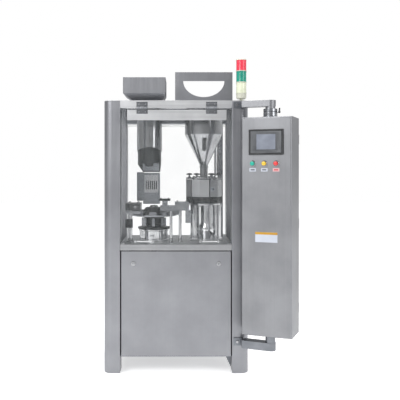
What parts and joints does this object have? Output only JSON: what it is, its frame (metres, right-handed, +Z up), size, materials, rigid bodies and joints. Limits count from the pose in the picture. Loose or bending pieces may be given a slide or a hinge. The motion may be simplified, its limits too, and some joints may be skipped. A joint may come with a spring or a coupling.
{
  "type": "capsule filler",
  "caption": "Floor-standing automatic capsule filling machine with a glazed chamber, capsule and powder hoppers, turret, dosing head and a swivelling control cabinet.",
  "frame": {"origin": "bottom centre of the whole machine's box, on the floor", "axes": "+X to the right seen from the front, +Y from the front towards the back, +Z up"},
  "size_m": [1.2276, 0.8864, 1.989],
  "materials": {
    "brushed_steel": "brushed stainless steel sheet, satin grain",
    "light_steel": "lighter satin stainless steel",
    "polished_steel": "polished stainless steel",
    "dark_steel": "dark machined steel in shade",
    "acrylic": "clear acrylic sheet",
    "black_plastic": "moulded black plastic",
    "machine_paint": "grey machine enamel on cast iron",
    "belt_rubber": "reinforced rubber belt",
    "tower_plastic": "moulded off-white plastic",
    "lens_red": "translucent red plastic",
    "lens_green": "translucent green plastic",
    "lens_cream": "translucent cream plastic",
    "button_green": "moulded green plastic",
    "button_yellow": "moulded yellow plastic",
    "button_red": "moulded red plastic"
  },
  "bodies": {
    "machine_frame": {"post_front_left": "brushed_steel", "post_front_right": "brushed_steel", "post_rear_left": "brushed_steel", "post_rear_right": "brushed_steel", "side_panel_left": "brushed_steel", "side_panel_right": "brushed_steel", "rear_panel": "brushed_steel", "capsule_hopper": "brushed_steel", "feeder_plate": "brushed_steel", "guard_hood": "brushed_steel", "dosing_bowl": "brushed_steel", "arm_upper": "brushed_steel", "arm_lower": "brushed_steel", "roof": "light_steel", "rear_header": "light_steel", "deck": "light_steel", "hinge_header_left": "polished_steel", "hinge_header_right": "polished_steel", "drop_tube": "polished_steel", "turret_base": "polished_steel", "station_right": "polished_steel", "powder_hopper": "polished_steel", "dosing_stand": "polished_steel", "base_pan": "dark_steel", "funnel": "dark_steel", "feeder_body": "dark_steel", "station_left": "dark_steel", "window_right": "acrylic", "drive_frame": "machine_paint", "gear_motor": "machine_paint", "drive_belt": "belt_rubber", "tower_base": "tower_plastic", "lens_red": "lens_red", "lens_green": "lens_green", "lens_cream": "lens_cream"},
    "front_window": {"window_front": "acrylic", "window_rail": "light_steel", "hinge_window_left": "polished_steel", "hinge_window_right": "polished_steel", "window_handle_left": "polished_steel", "window_handle_right": "polished_steel"},
    "left_window": {"window_left": "acrylic"},
    "rear_window": {"window_rear": "acrylic"},
    "front_panel": {"front_panel": "brushed_steel"},
    "lock_left": {"panel_lock_left": "polished_steel"},
    "lock_right": {"panel_lock_right": "polished_steel"},
    "turret": {"turret_hub": "dark_steel", "turret_segments": "polished_steel"},
    "dosing_disc": {"dosing_disc": "polished_steel"},
    "tamping_head": {"tamping_head": "polished_steel"},
    "camshaft": {"camshaft": "light_steel"},
    "drive_pulley": {"drive_pulley": "light_steel"},
    "cabinet": {"cabinet_shell": "brushed_steel", "cabinet_collar": "light_steel", "screen_panel": "black_plastic"},
    "cabinet_door": {"cabinet_door": "brushed_steel"},
    "clamp_lever": {"clamp_lever": "black_plastic"},
    "button_green": {"button_green": "button_green"},
    "button_yellow": {"button_yellow": "button_yellow"},
    "button_red": {"button_red": "button_red"}
  },
  "joints": [
    {"name": "front_window_hinge", "type": "hinge", "parent": "machine_frame", "child": "front_window", "pos_m": [-0.14434, -0.19176, 1.673], "axis": [-1, 0, 0], "range_deg": [0, 95]},
    {"name": "left_window_hinge", "type": "hinge", "parent": "machine_frame", "child": "left_window", "pos_m": [-0.59934, 0.12024, 1.668], "axis": [0, 1, 0], "range_deg": [0, 90]},
    {"name": "rear_window_hinge", "type": "hinge", "parent": "machine_frame", "child": "rear_window", "pos_m": [-0.14434, 0.42374, 1.6095], "axis": [1, 0, 0], "range_deg": [0, 90]},
    {"name": "front_panel_slide", "type": "slide", "parent": "machine_frame", "child": "front_panel", "axis": [0, -1, 0], "range_m": [0, 0.3]},
    {"name": "lock_left_turn", "type": "hinge", "parent": "front_panel", "child": "lock_left", "pos_m": [-0.41384, -0.18076, 0.69], "axis": [0, -1, 0], "range_deg": [0, 90]},
    {"name": "lock_right_turn", "type": "hinge", "parent": "front_panel", "child": "lock_right", "pos_m": [0.12516, -0.18076, 0.69], "axis": [0, 1, 0], "range_deg": [0, 90]},
    {"name": "camshaft_turn", "type": "hinge", "parent": "machine_frame", "child": "camshaft", "pos_m": [-0.14434, 0.02524, 0.43], "axis": [1, 0, 0], "continuous": true},
    {"name": "drive_pulley_turn", "type": "hinge", "parent": "machine_frame", "child": "drive_pulley", "pos_m": [-0.03434, 0.24524, 0.23], "axis": [1, 0, 0], "continuous": true},
    {"name": "turret_turn", "type": "hinge", "parent": "machine_frame", "child": "turret", "pos_m": [-0.29434, 0.08524, 0.9], "axis": [0, 0, 1], "continuous": true},
    {"name": "dosing_disc_turn", "type": "hinge", "parent": "machine_frame", "child": "dosing_disc", "pos_m": [0.04366, 0.10524, 1.11], "axis": [0, 0, 1], "continuous": true},
    {"name": "tamping_slide", "type": "slide", "parent": "machine_frame", "child": "tamping_head", "axis": [0, 0, 1], "range_m": [0, 0.02]},
    {"name": "cabinet_swivel", "type": "hinge", "parent": "machine_frame", "child": "cabinet", "pos_m": [0.43466, -0.29276, 1.63], "axis": [0, 0, 1], "range_deg": [-45, 22.5]},
    {"name": "cabinet_door_hinge", "type": "hinge", "parent": "cabinet", "child": "cabinet_door", "pos_m": [0.61563, -0.25569, 0.94], "axis": [0, 0, -1], "range_deg": [0, 100]},
    {"name": "clamp_lever_turn", "type": "hinge", "parent": "cabinet", "child": "clamp_lever", "pos_m": [0.48271, -0.31266, 1.636], "axis": [0.9239, -0.3827, 0], "range_deg": [0, 90]},
    {"name": "button_green_press", "type": "slide", "parent": "cabinet", "child": "button_green", "axis": [0.3827, 0.9239, 0], "range_m": [0, 0.004], "stiffness_N_per_m": 400, "springref_m": -0.001},
    {"name": "button_yellow_press", "type": "slide", "parent": "cabinet", "child": "button_yellow", "axis": [0.3827, 0.9239, 0], "range_m": [0, 0.004], "stiffness_N_per_m": 400, "springref_m": -0.001},
    {"name": "button_red_press", "type": "slide", "parent": "cabinet", "child": "button_red", "axis": [0.3827, 0.9239, 0], "range_m": [0, 0.004], "stiffness_N_per_m": 400, "springref_m": -0.001}
  ],
  "couplings": [
    {"joint": "drive_pulley_turn", "follows": "camshaft_turn", "ratio": 2},
    {"joint": "turret_turn", "follows": "camshaft_turn", "ratio": 0.083333},
    {"joint": "dosing_disc_turn", "follows": "camshaft_turn", "ratio": 0.16667}
  ]
}
